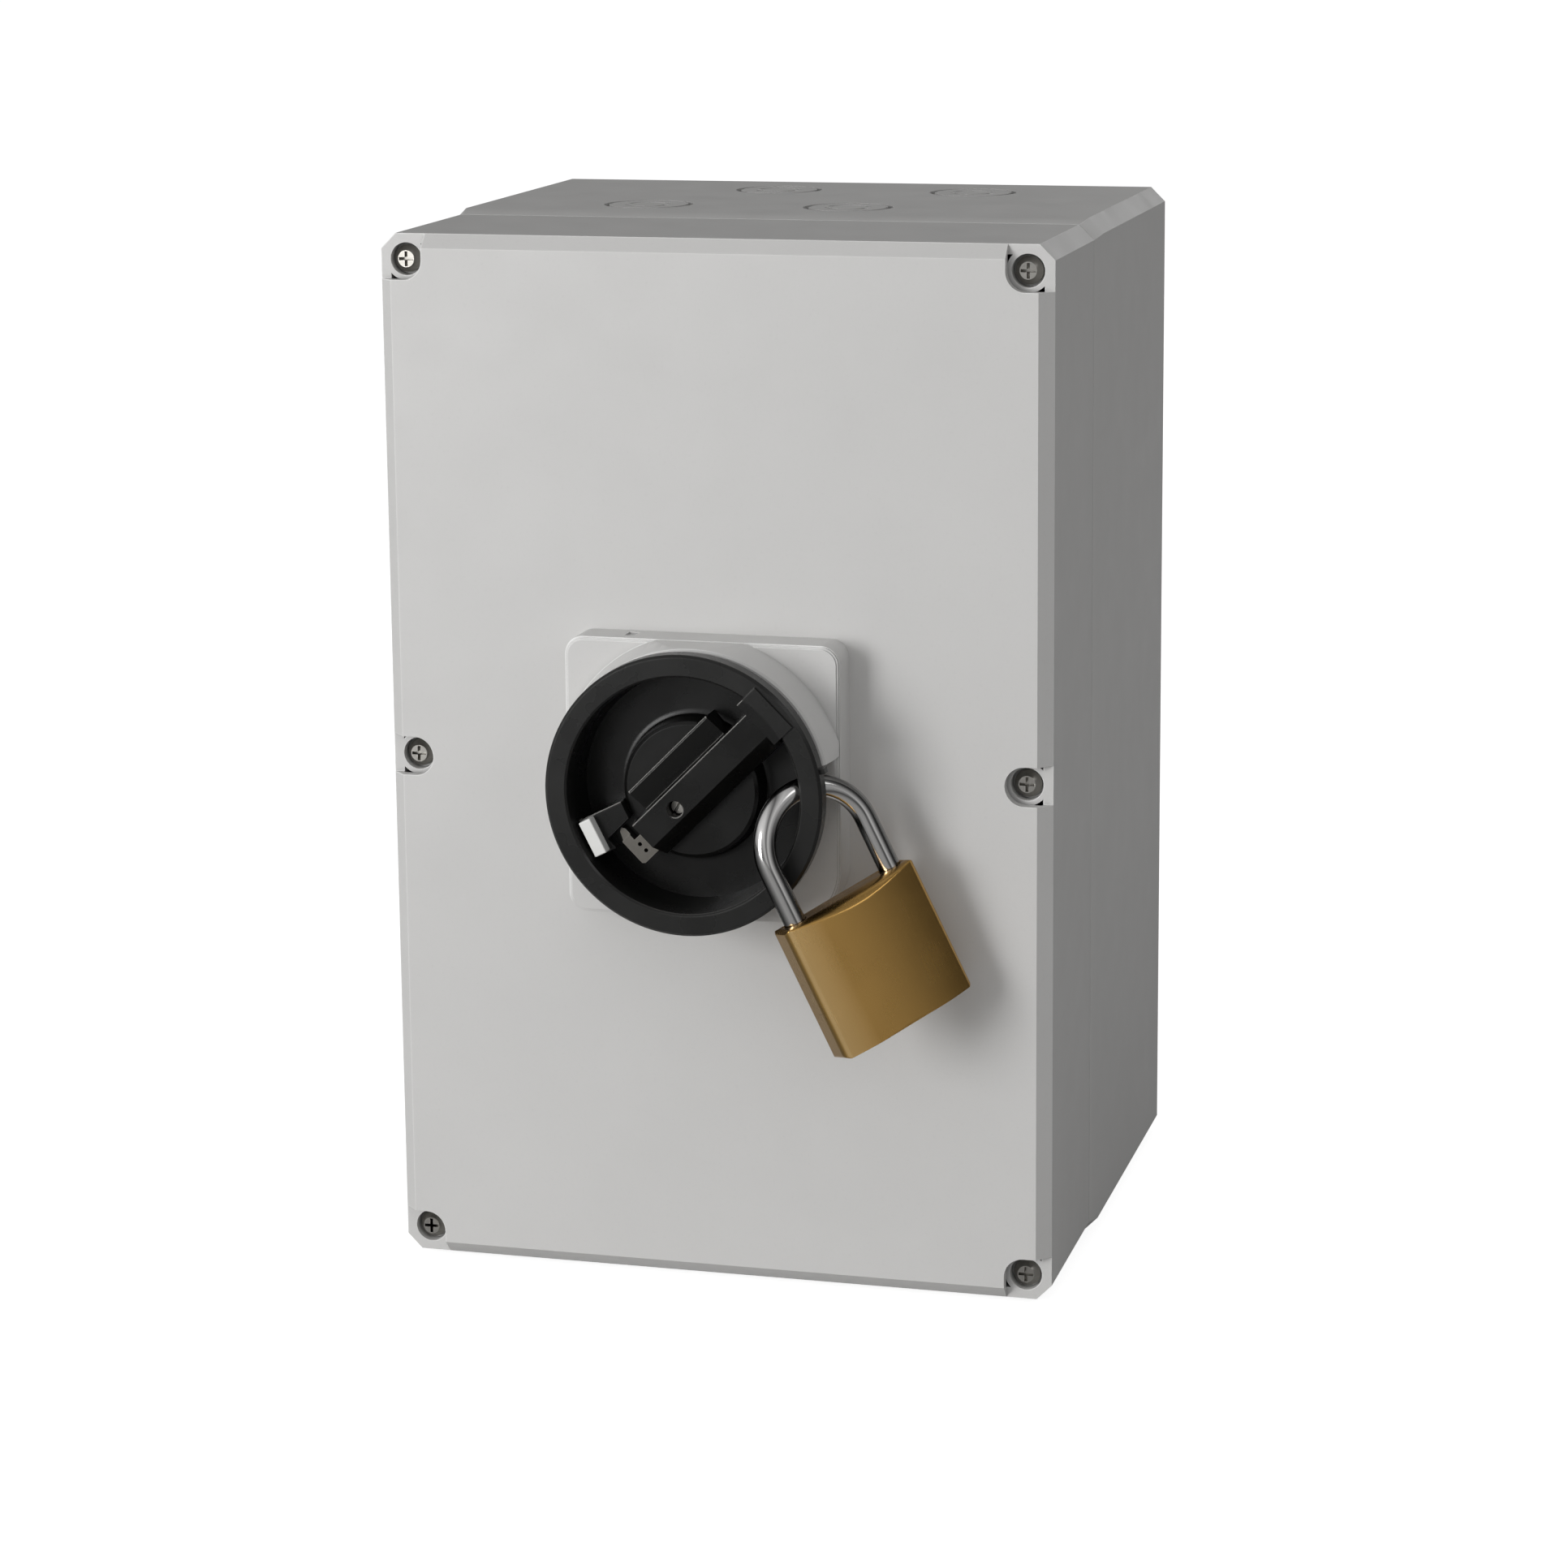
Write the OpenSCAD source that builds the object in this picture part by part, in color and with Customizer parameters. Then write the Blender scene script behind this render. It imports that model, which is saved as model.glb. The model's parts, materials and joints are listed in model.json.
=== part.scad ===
// Fused disconnect switch in a wall-mounted insulated enclosure.
// Millimetres. +Z is up, the back of the case lies on the wall plane Y = 0 and the lid faces -Y.

/* [Enclosure] */
// Width of the lid
lid_w = 200; // [196:1:204]
// Height of the lid
lid_h = 310; // [306:1:314]
// Distance from the wall to the lid's front face
case_d = 176; // [176:1:180]
// Distance from the wall to the joint between case and lid
joint_y = 114; // [112:1:114]
// Wall thickness of case and lid
wall = 3; // [2.5:0.1:3.2]
// Step by which the case is larger than the lid, on each side
step = 1.2; // [0.8:0.1:1.6]
// Cut across each long corner edge
corner_cut = 4.5; // [4:0.1:5]
// Chamfer round the front of the lid
lid_chamfer = 4; // [3.5:0.1:4]
// Distance of the lid screws from the lid's sides
screw_in_x = 7.7; // [7.7:0.1:8]
// Distance of the corner screws from the lid's top and bottom
screw_in_z = 7.5; // [7.5:0.1:8]
// Diameter of a cable knockout
knockout_d = 25.5; // [24:0.5:26]

/* [Wall mounting] */
// Spacing of the wall holes across the case
wall_hole_dx = 160; // [156:1:160]
// Spacing of the wall holes up the case
wall_hole_dz = 266; // [264:1:268]
// Diameter of the wall holes
wall_hole_d = 5.5; // [4.5:0.1:6]

/* [Handle] */
// Side of the square escutcheon
plate_w = 82; // [80:1:84]
// Thickness of the escutcheon
plate_t = 12.5; // [12:0.1:12.5]
// Outer radius of the handle's rim
knob_r = 41; // [40.5:0.1:41]
// Height of the handle's front above the lid
knob_h = 33; // [33:0.1:34]
// Width of the handle's front ring
ring_w = 6.5; // [6.4:0.1:6.8]
// Depth of the handle's dish
dish_d = 16; // [15:0.1:16]
// Side of the square operating shaft
shaft_w = 7; // [6:0.1:7.5]

/* [Padlock] */
// Width of the padlock's body
pad_w = 45; // [43:0.5:46]
// Height of the padlock's body
pad_h = 41; // [38:0.5:42]
// Thickness of the padlock's body at its middle
pad_t = 16; // [15:0.5:16]
// Thickness that the padlock's body would have at its sides with square corners
pad_edge_t = 9.4; // [9:0.1:10]
// Diameter of the shackle
shackle_d = 6.5; // [5.5:0.1:6.5]
// Radius of the shackle's bend, on its centre line
shackle_r = 16.7; // [16:0.1:17]
// Height of the shackle's centre line above the body
shackle_h = 32.7; // [32:0.1:34]

/* [Switch and fuses] */
// Side of a switch deck
deck_w = 56; // [54:1:58]
// Depth of a switch deck
deck_t = 15; // [15:0.1:16]
// Spacing of the fuse bases
fuse_pitch = 30; // [30:0.5:31]
// Diameter of a fuse barrel
fuse_d = 14; // [12:0.1:14.3]

/* [Hidden] */
$fn = 48;
eps = 0.01;

// Case and lid
base_w = lid_w + 2 * step;
base_h = lid_h + 2 * step;
shoulder_y = joint_y - 8;
joint_gap = 0.4;
rim_w = 14.5;
rim_t = 14;
groove_in = 10;
groove_w = 3;
groove_depth = 4;
tongue_w = 2;
lid_flange_w = 13.6;
lid_flange_t = 4;
column_r = 6.3;
screw_x = lid_w / 2 - screw_in_x;
screw_z = lid_h / 2 - screw_in_z;
screw_spots = [for (sx = [-1, 1]) for (sz = [-1, 0, 1]) [sx * screw_x, sz * screw_z]];
pocket_r = 5.8;
seat_r = 4.8;
seat_depth = 4;
pocket_y = case_d - lid_chamfer;
lid_bore_r = 2.5;
screw_hole_depth = 22;
knockout_rows = [[-45, 84], [-18.3, 28.5], [18.3, 84], [45, 28.5]];
ring_groove = 1.8;
ring_width = 1.6;

// Mounting plate
plate_y = 10;
mount_t = 1.5;
mount_w = 146;
mount_h = 250;
boss_x = 66;
boss_z = 117;
m4_r = 2;
m4_clear_r = 2.2;

// Handle: z runs from the lid's front face towards the user, and the grip lies at 45 degrees
grip_angle = 45;
flange_t = 6;
cup_r = 37.5;
cup_bottom = 14.3;
dish_r = knob_r - ring_w;
dish_floor = knob_h - dish_d;
hub_r = 20;
hub_top = dish_floor + 7;
grip_top = knob_h - 1;
grip_base = dish_floor + 10;
grip_tail = -17.5;
grip_nose = 31;
ledge_from = -13.5;
ledge_to = 19.5;
marker_angle = 207;
window_from = -17;
window_to = 18;
collar_h = 11.3;
collar_inner = 38.6;
collar_gap_from = -122;
collar_gap_to = 13;
collar_foot = 43;
tab_angle = 12.5;
block_from = 31.2;
block_to = 38.6;
block_half = 7.7;
slide_z = dish_floor + 6.5;
slide_t = 3;
slide_half = 6.1;
slide_side = 3.3;
slide_end = -25.3;
slide_clear = 0.3;
defeat_spot = [-2.5, -4];
socket_r = 11;
socket_neck_r = 9;
socket_hole_r = 12;
socket_back = -14;
shaft_clear = 0.15;
lid_bolt = 30;

// Padlock: the middle of the shackle's bend sits in the rim's window
pad_crown = [31.7, -(case_d + 29), 2.1];
pad_turn = [-14, -20.8, 45];
pad_gap = 0.3;
pad_corner = 2.6;
leg_short = 10;
leg_long = 24;
plug_r = 5.5;

// Switch
switch_y = plate_y + mount_t;
switch_base_t = 5;
deck_y0 = switch_y + switch_base_t;
drive_y = deck_y0 + 3 * deck_t;
drive_t = 14;
rotor_room_r = 22;
hub_d = 26;
journal_r = 7;
blade_len = 40;
blade_w = 9;
blade_t = 2;
blade_y = 7;
jaw_t = 1.2;
jaw_gap = 0.2;
terminal_x = [-17, 0, 17];
tie_spot = 23;
spindle_w = 9;
shaft_front = case_d + cup_bottom - 1;
coupler_y = drive_y + drive_t + 3;

// Fuses
fuse_z = -92;
fuse_base_w = 28;
fuse_base_h = 78;
fuse_base_t = 30;
carrier_w = 26;
carrier_h = 50;
carrier_t = 34;
fuse_front = switch_y + fuse_base_t;
carrier_gap = 0.4;
fuse_len = 38;
fuse_y = fuse_front + 17;
blade_off = 19.5;
fuse_blade_t = 2.4;
fuse_x = [-fuse_pitch, 0, fuse_pitch];

// ---------- helpers ----------

// Local z runs from the wall towards the user, local y runs up
module on_wall(y) {
  translate([0, -y, 0]) rotate([90, 0, 0]) children();
}

module on_lid(z) {
  on_wall(case_d + z) children();
}

module cut_rect(w, h, k) {
  x = w / 2;
  y = h / 2;
  polygon([[-x + k, -y], [x - k, -y], [x, -y + k], [x, y - k], [x - k, y], [-x + k, y], [-x, y - k], [-x, -y + k]]);
}

module round_rect(w, h, r) {
  square([w - 2 * r, h], center = true);
  square([w, h - 2 * r], center = true);
  for (x = [-1, 1]) for (y = [-1, 1]) translate([x * (w / 2 - r), y * (h / 2 - r)]) circle(r);
}

module four_ways(x, y) {
  for (sx = [-1, 1]) for (sy = [-1, 1]) translate([sx * x, sy * y, 0]) children();
}

module box_at(x0, x1, y0, y1, z0, z1) {
  translate([x0, -y1, z0]) cube([x1 - x0, y1 - y0, z1 - z0]);
}

// Pan-head screw with a cross recess: z = 0 is the seat, the shank runs to -len
module pan_screw(r, len, head_r, head_t) {
  difference() {
    union() {
      translate([0, 0, -len]) cylinder(r = r, h = len + eps);
      cylinder(r = head_r, h = head_t * 0.55);
      translate([0, 0, head_t * 0.55 - eps]) cylinder(r1 = head_r, r2 = head_r * 0.62, h = head_t * 0.45);
    }
    for (a = [0, 90]) rotate(a) translate([-head_r * 0.55, -0.45, head_t * 0.5]) cube([head_r * 1.1, 0.9, head_t]);
  }
}

// ---------- enclosure ----------

module knockout_ring(r) {
  difference() {
    cylinder(r = r, h = ring_groove);
    translate([0, 0, -eps]) cylinder(r = r - ring_width, h = ring_groove + 2 * eps);
  }
}

// Knockouts in the top wall: a ring groove from outside with two thin break-out ties
module knockouts() {
  for (spot = knockout_rows) translate([spot[0], -spot[1], base_h / 2 - ring_groove + eps]) {
    difference() {
      union() {
        knockout_ring(knockout_d / 2 + 1);
        knockout_ring(knockout_d / 2 - 5.5);
      }
      rotate(90) translate([-1.5, -knockout_d, -1]) cube([3, 2 * knockout_d, 4]);
    }
    for (s = [-1, 1]) translate([s * knockout_d / 2 - 1, -2.2, -0.5]) cube([2, 4.4, 3]);
  }
}

module enclosure_base() {
  color("gainsboro") difference() {
    union() {
      difference() {
        union() {
          on_wall(0) linear_extrude(shoulder_y) cut_rect(base_w, base_h, corner_cut);
          hull() {
            on_wall(shoulder_y - 0.1) linear_extrude(0.1) cut_rect(base_w, base_h, corner_cut);
            on_wall(joint_y - 0.1) linear_extrude(0.1) cut_rect(lid_w, lid_h, corner_cut);
          }
        }
        on_wall(wall) linear_extrude(joint_y - rim_t - wall)
          cut_rect(base_w - 2 * wall, base_h - 2 * wall, corner_cut - 1);
        on_wall(wall) linear_extrude(joint_y) cut_rect(lid_w - 2 * rim_w, lid_h - 2 * rim_w, corner_cut);
      }
      for (s = screw_spots) on_wall(wall - eps) translate([s[0], s[1], 0])
        cylinder(r = column_r, h = joint_y - wall - groove_depth);
      on_wall(wall - eps) four_ways(boss_x, boss_z) cylinder(r = 5, h = plate_y - wall + eps);
      on_wall(wall - eps) four_ways(wall_hole_dx / 2, wall_hole_dz / 2) cylinder(r = 6, h = 3);
    }
    on_wall(joint_y - groove_depth) linear_extrude(groove_depth + 1) difference() {
      cut_rect(lid_w - 2 * groove_in, lid_h - 2 * groove_in, corner_cut);
      cut_rect(lid_w - 2 * (groove_in + groove_w), lid_h - 2 * (groove_in + groove_w), corner_cut);
    }
    for (s = screw_spots) on_wall(joint_y - screw_hole_depth) translate([s[0], s[1], 0])
      cylinder(r = m4_clear_r, h = screw_hole_depth + 1);
    on_wall(plate_y - 6.5) four_ways(boss_x, boss_z) cylinder(r = m4_clear_r, h = 8);
    on_wall(-1) four_ways(wall_hole_dx / 2, wall_hole_dz / 2) cylinder(r = wall_hole_d / 2, h = 10);
    knockouts();
    mirror([0, 0, 1]) knockouts();
  }
}

module mounting_plate() {
  color("silver") on_wall(plate_y) difference() {
    linear_extrude(mount_t) cut_rect(mount_w, mount_h, 6);
    translate([0, 0, -1]) four_ways(boss_x, boss_z) cylinder(r = m4_clear_r, h = 4);
  }
}

module mounting_plate_screws() {
  color("silver") on_wall(plate_y + mount_t) four_ways(boss_x, boss_z) pan_screw(m4_r, 7, 3.8, 2.6);
}

module lid_pocket(sx, sz) {
  reach = 20;
  cylinder(r = pocket_r, h = 10);
  translate([sx > 0 ? 0 : -reach, -pocket_r, 0]) cube([reach, 2 * pocket_r, 10]);
  if (sz != 0) {
    translate([-pocket_r, sz > 0 ? 0 : -reach, 0]) cube([2 * pocket_r, reach, 10]);
    translate([sx > 0 ? 0 : -reach, sz > 0 ? 0 : -reach, 0]) cube([reach, reach, 10]);
  }
}

module lid() {
  back = joint_y + joint_gap;
  color("gainsboro") difference() {
    union() {
      difference() {
        union() {
          on_wall(back) linear_extrude(pocket_y - back) cut_rect(lid_w, lid_h, corner_cut);
          hull() {
            on_wall(pocket_y - 0.1) linear_extrude(0.1) cut_rect(lid_w, lid_h, corner_cut);
            on_wall(case_d - 0.1) linear_extrude(0.1)
              cut_rect(lid_w - 2 * lid_chamfer, lid_h - 2 * lid_chamfer, corner_cut * 0.6);
          }
        }
        on_wall(back + lid_flange_t) linear_extrude(case_d - wall - back - lid_flange_t)
          cut_rect(lid_w - 2 * wall, lid_h - 2 * wall, corner_cut - 1);
        on_wall(back - 1) linear_extrude(20)
          cut_rect(lid_w - 2 * lid_flange_w, lid_h - 2 * lid_flange_w, corner_cut);
      }
      for (s = screw_spots) on_wall(back) translate([s[0], s[1], 0]) cylinder(r = column_r, h = pocket_y - back);
      on_wall(back - 2) linear_extrude(2 + eps) difference() {
        in = groove_in + (groove_w - tongue_w) / 2;
        cut_rect(lid_w - 2 * in, lid_h - 2 * in, corner_cut);
        cut_rect(lid_w - 2 * (in + tongue_w), lid_h - 2 * (in + tongue_w), corner_cut);
      }
    }
    for (s = screw_spots) on_wall(pocket_y) translate([s[0], s[1], 0]) {
      lid_pocket(sign(s[0]), sign(s[1]));
      translate([0, 0, -seat_depth]) cylinder(r = seat_r, h = 10);
      translate([0, 0, -joint_y]) cylinder(r = lid_bore_r, h = joint_y + 1);
    }
    on_lid(-10) cylinder(r = socket_hole_r, h = 20);
    on_lid(-10) four_ways(lid_bolt, lid_bolt) cylinder(r = m4_clear_r, h = 20);
  }
}

module lid_gasket() {
  color("dimgray") on_wall(joint_y - groove_depth) linear_extrude(2.2) difference() {
    in = groove_in + 0.2;
    cut_rect(lid_w - 2 * in, lid_h - 2 * in, corner_cut);
    cut_rect(lid_w - 2 * (in + groove_w - 0.4), lid_h - 2 * (in + groove_w - 0.4), corner_cut);
  }
}

module lid_screws() {
  len = pocket_y - seat_depth - joint_y + 18;
  color("silver") for (s = screw_spots) on_wall(pocket_y - seat_depth) translate([s[0], s[1], 0])
    pan_screw(m4_r, len, 4, 4.2);
}

// ---------- escutcheon ----------

// Square with small corners and one wide corner at the lower right, where the padlock swings past
module plate_outline(w, r, big_r) {
  difference() {
    round_rect(w, w, r);
    translate([w / 2 - big_r, -w / 2 - 1]) square([big_r + 1, big_r + 1]);
  }
  translate([w / 2 - big_r, -w / 2 + big_r]) circle(big_r);
}

module escutcheon() {
  color("gainsboro") on_lid(0) difference() {
    union() {
      difference() {
        union() {
          linear_extrude(plate_t - 0.9) plate_outline(plate_w, 5.5, 16);
          translate([0, 0, plate_t - 0.9 - eps]) linear_extrude(0.5 + eps) plate_outline(plate_w - 0.7, 5.2, 15.7);
          translate([0, 0, plate_t - 0.4 - eps]) linear_extrude(0.4 + eps) plate_outline(plate_w - 1.8, 4.7, 15.2);
        }
        translate([0, 0, -eps]) linear_extrude(plate_t - 3) plate_outline(plate_w - 6, 2, 13);
      }
      four_ways(lid_bolt, lid_bolt) cylinder(r = 4.5, h = plate_t - 1);
      cylinder(r = socket_hole_r + 3, h = plate_t - 1);
      translate([0, 0, plate_t - eps]) collar();
    }
    translate([0, 0, -1]) cylinder(r = socket_hole_r, h = 40);
    translate([0, 0, -1]) four_ways(lid_bolt, lid_bolt) cylinder(r = m4_clear_r, h = 10);
    translate([-24, plate_w / 2 - 0.6, 3]) cube([3, 2, 5]);
  }
}

// Raised collar round the handle, wider at its foot and open where the shackle passes
module collar() {
  intersection() {
    rotate(collar_gap_to) rotate_extrude(angle = 360 + collar_gap_from - collar_gap_to, $fn = 96) polygon([
      [collar_inner, 0], [collar_inner, collar_h], [40.3, collar_h], [40.9, collar_h - 0.6], [collar_foot, 0]
    ]);
    translate([0, 0, -1]) linear_extrude(collar_h + 2) plate_outline(plate_w - 0.1, 5.5, 16);
  }
}

module escutcheon_seal() {
  color("dimgray") on_lid(-wall - 1.5) difference() {
    cylinder(r = 17, h = 1.5);
    translate([0, 0, -1]) cylinder(r = socket_hole_r, h = 4);
  }
}

module escutcheon_screws() {
  color("silver") on_lid(-wall) mirror([0, 0, 1]) four_ways(lid_bolt, lid_bolt) pan_screw(m4_r, 9, 3.8, 2.6);
}

// ---------- handle ----------

module knob_bowl() {
  rotate_extrude($fn = 128) polygon([
    [0, cup_bottom], [cup_r - 1, cup_bottom], [cup_r, cup_bottom + 1], [cup_r, knob_h - flange_t],
    [knob_r - 0.6, knob_h - flange_t], [knob_r, knob_h - flange_t + 0.6], [knob_r, knob_h - 0.8],
    [knob_r - 0.8, knob_h], [dish_r + 0.6, knob_h], [dish_r, knob_h - 0.6], [dish_r - 1.2, dish_floor],
    [hub_r + 2.5, dish_floor], [hub_r + 1, dish_floor + 0.6], [hub_r, hub_top - 0.6], [hub_r - 1, hub_top],
    [0, hub_top]
  ]);
}

// Opening through the bowl's wall, below the front ring
module rim_window() {
  rotate(window_from) rotate_extrude(angle = window_to - window_from, $fn = 96) polygon([
    [dish_r - 3, dish_floor + 0.8], [cup_r + 5, dish_floor + 0.8], [cup_r + 5, knob_h - flange_t - 0.8],
    [knob_r - 1, knob_h - flange_t], [dish_r - 0.6, knob_h - 1.2], [dish_r - 3, knob_h - 1.2]
  ]);
}

// Upright towards the upper left, sloping towards the lower right, with a hollowed ledge beside its middle
module grip_bar() {
  rotate(grip_angle) {
    translate([grip_tail, 0, 0]) rotate([90, 0, 90]) linear_extrude(grip_nose - grip_tail) polygon([
      [-8.5, dish_floor - 1], [-8.5, grip_base], [-4.5, grip_top], [4, grip_top], [4.8, grip_base],
      [4.8, dish_floor - 1]
    ]);
    translate([ledge_from, 0, 0]) rotate([90, 0, 90]) linear_extrude(ledge_to - ledge_from) polygon([
      [4, dish_floor - 1], [4, grip_base - 2], [11.4, grip_base - 0.6], [12, grip_base - 0.9], [12, dish_floor - 1]
    ]);
  }
}

module handle_knob() {
  color([0.09, 0.09, 0.09]) on_lid(0) difference() {
    union() {
      knob_bowl();
      grip_bar();
      rotate(grip_angle) translate([block_from, -block_half, dish_floor - 1])
        cube([cup_r - 1 - block_from, 2 * block_half, knob_h - flange_t - dish_floor + 2]);
      rotate(grip_angle) translate([block_from, -block_half, knob_h - flange_t])
        cube([block_to - block_from, 2 * block_half, flange_t + 0.7]);
      rotate(marker_angle) translate([19.5, -5.8, dish_floor - 1]) cube([14, 11.6, 11.5]);
      rotate(tab_angle) translate([knob_r - 2, -0.8, knob_h - flange_t + 1]) cube([3.4, 1.6, 3.2]);
    }
    rim_window();
    rotate(grip_angle) translate([grip_tail - 10, -slide_half - slide_clear, slide_z - slide_clear]) {
      cube([10, 2 * (slide_half + slide_clear), 12]);
      cube([26.5, slide_half + slide_side + 2 * slide_clear, slide_t + 2 * slide_clear]);
    }
    rotate(marker_angle) translate([29, -5.5, dish_floor + 5]) cube([3.8, 11, 12]);
    translate([defeat_spot[0], defeat_spot[1], grip_top - 6.4]) cylinder(r = 2.4, h = 10);
    translate([0, 0, cup_bottom - 1]) cylinder(r = socket_neck_r + 0.1, h = 6);
  }
}

module position_marker() {
  color("white") on_lid(0) rotate(marker_angle) translate([29, -5.5, dish_floor + 5]) cube([3.8, 11, 9]);
}

// Flat slide with a hook and two small holes at its outer end, forked round the defeat screw inside the grip
module lock_slide() {
  h = slide_half;
  color("darkgray") on_lid(0) rotate(grip_angle) translate([slide_end, 0, slide_z]) difference() {
    linear_extrude(slide_t) polygon([
      [17.8, -h], [0.7, -h], [0, 0.7 - h], [0, 2.6], [1.4, 5.6], [2.6, h], [3.2, 5], [3.2, 0.9],
      [6.7, 0.9], [6.7, slide_side], [17.8, slide_side],
      [17.8, 1.5], [14.1, 1.5], [14.1, -3.6], [17.8, -3.6]
    ]);
    for (spot = [[3.5, -1.1], [3.6, -3.6]]) translate([spot[0], spot[1], -1]) cylinder(r = 0.6, h = slide_t + 2);
    translate([-1, 3, slide_t - 0.9]) cube([5, 6, 2]);
  }
}

module defeat_screw() {
  color("silver") on_lid(0) translate([defeat_spot[0], defeat_spot[1], grip_top - 6.3]) difference() {
    cylinder(r = 2.1, h = 2.6);
    rotate(60) translate([-3, -0.35, 1.7]) cube([6, 0.7, 2]);
  }
}

module shaft_socket() {
  hollow = shaft_w + 2 * shaft_clear;
  color([0.15, 0.15, 0.15]) on_lid(0) difference() {
    union() {
      translate([0, 0, socket_back]) cylinder(r = socket_r, h = cup_bottom - socket_back);
      translate([0, 0, cup_bottom - eps]) cylinder(r = socket_neck_r, h = 4.9);
    }
    translate([-hollow / 2, -hollow / 2, socket_back - 1]) cube([hollow, hollow, cup_bottom - socket_back + 1.5]);
    translate([0, 0, -wall - 4.2]) difference() {
      cylinder(r = socket_r + 1, h = 1.6);
      translate([0, 0, -1]) cylinder(r = socket_r - 1.2, h = 4);
    }
  }
}

module retaining_ring() {
  color("silver") on_lid(-wall - 4.1) difference() {
    cylinder(r = 14.5, h = 1.4);
    translate([0, 0, -1]) cylinder(r = socket_r - 1.1, h = 4);
    rotate(-90) translate([0, -4, -1]) cube([20, 8, 4]);
  }
}

// ---------- padlock ----------

// The padlock's own frame: x along its width, z up the shackle, the middle of the bend at the origin
module padlock_place() {
  translate(pad_crown) rotate(pad_turn) children();
}

// The short leg comes free when the lock opens and the long leg stays in the body
module padlock_shackle() {
  color("silver") padlock_place() {
    translate([0, 0, -shackle_r]) rotate([90, 0, 0]) rotate_extrude(angle = 180, $fn = 96)
      translate([shackle_r, 0]) circle(d = shackle_d, $fn = 48);
    for (leg = [[-1, leg_short], [1, leg_long]]) translate([leg[0] * shackle_r, 0, -shackle_h - leg[1]])
      cylinder(d = shackle_d, h = shackle_h + leg[1] - shackle_r);
  }
}

// Lens-like section: the front and back bulge and run into rounded corners without a crease
module pad_section() {
  sag = (pad_t - pad_edge_t) / 2;
  bulge_r = (pad_w * pad_w / 4 + sag * sag) / (2 * sag);
  corner_x = pad_w / 2 - pad_corner;
  corner_y = sqrt(pow(bulge_r - pad_corner, 2) - pow(corner_x, 2)) - (bulge_r - pad_t / 2);
  meet_x = corner_x * bulge_r / (bulge_r - pad_corner);
  intersection() {
    translate([0, pad_t / 2 - bulge_r]) circle(bulge_r, $fn = 360);
    translate([0, bulge_r - pad_t / 2]) circle(bulge_r, $fn = 360);
    square([2 * meet_x, 2 * pad_t], center = true);
  }
  square([pad_w, 2 * corner_y], center = true);
  for (x = [-1, 1]) for (y = [-1, 1]) translate([x * corner_x, y * corner_y]) circle(pad_corner);
}

// The section run up the body, crowned along the top and rounded a little along the bottom and at the sides
module padlock_body() {
  color("goldenrod") padlock_place() translate([0, 0, -shackle_h]) difference() {
    intersection() {
      translate([0, 0, -pad_h - 1]) linear_extrude(pad_h + 2) pad_section();
      translate([-pad_w, 0, (1 - pad_h) / 2]) rotate([90, 0, 90]) linear_extrude(2 * pad_w)
        round_rect(pad_t + 1, pad_h + 1, 1.6);
      translate([-pad_w, 0, -pad_h]) rotate([90, 0, 90]) linear_extrude(2 * pad_w)
        round_rect(pad_t + 2, 2 * pad_h, 6);
      translate([0, pad_t, -pad_h / 2]) rotate([90, 0, 0]) linear_extrude(2 * pad_t)
        round_rect(pad_w + 1, pad_h + 0.4, 3);
    }
    for (leg = [[-1, leg_short], [1, leg_long]]) translate([leg[0] * shackle_r, 0, -leg[1] - 1])
      cylinder(d = shackle_d + 2 * pad_gap, h = 40);
    translate([0, 0, -pad_h - 1]) cylinder(r = plug_r + pad_gap, h = 27);
  }
}

module padlock_key_plug() {
  color("khaki") padlock_place() translate([0, 0, -shackle_h - pad_h - 0.3]) difference() {
    cylinder(r = plug_r, h = 26);
    translate([-0.7, -3.4, -1]) cube([1.4, 6.8, 9]);
    translate([-1.5, -1, -1]) cube([3, 2, 9]);
  }
}

// ---------- switch ----------

module switch_base() {
  color("dimgray") on_wall(switch_y) difference() {
    linear_extrude(switch_base_t) cut_rect(deck_w + 8, deck_w + 4, 4);
    translate([0, 0, -1]) cylinder(r = journal_r + 1.5, h = 10);
    translate([0, 0, 1.5]) four_ways(tie_spot, tie_spot) cylinder(r = 1.8, h = 10);
  }
}

module switch_deck(n) {
  y0 = deck_y0 + (n - 1) * deck_t;
  color("dimgray") on_wall(y0) difference() {
    linear_extrude(deck_t - 0.05) cut_rect(deck_w, deck_w, 3);
    translate([0, 0, 3]) cylinder(r = rotor_room_r, h = deck_t, $fn = 96);
    translate([0, 0, -1]) cylinder(r = journal_r + 0.3, h = 10);
    for (turn = [0, 180]) rotate(turn) translate([-6.5, rotor_room_r - 6, 4.6]) cube([13, 20, 7]);
    translate([0, 0, -1]) four_ways(tie_spot, tie_spot) cylinder(r = 1.8, h = deck_t + 2);
  }
}

// Jaw, cross strip and terminal tab of one fixed contact at the line end
module line_contact(n) {
  y0 = deck_y0 + (n - 1) * deck_t + blade_y;
  x = terminal_x[n - 1];
  color("peru") on_wall(y0) {
    for (z = [-jaw_gap - jaw_t, blade_t + jaw_gap]) translate([-5, 13.6, z]) cube([10, 10, jaw_t]);
    translate([-5, 22, -jaw_gap - jaw_t]) cube([10, 2, blade_t + 2 * (jaw_gap + jaw_t)]);
    translate([-5, 23.5, 0.2]) cube([10, 9, 1.6]);
    translate([min(-5, x - 5), 28.6, 0.2]) cube([abs(x) + 10, 4, 1.6]);
    difference() {
      translate([x - 5, 28.6, 0.2]) cube([10, 14, 1.6]);
      translate([x, 38, -1]) cylinder(r = 1.9, h = 5);
    }
  }
}

module load_contact(n) {
  mirror([0, 0, 1]) line_contact(n);
}

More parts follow.
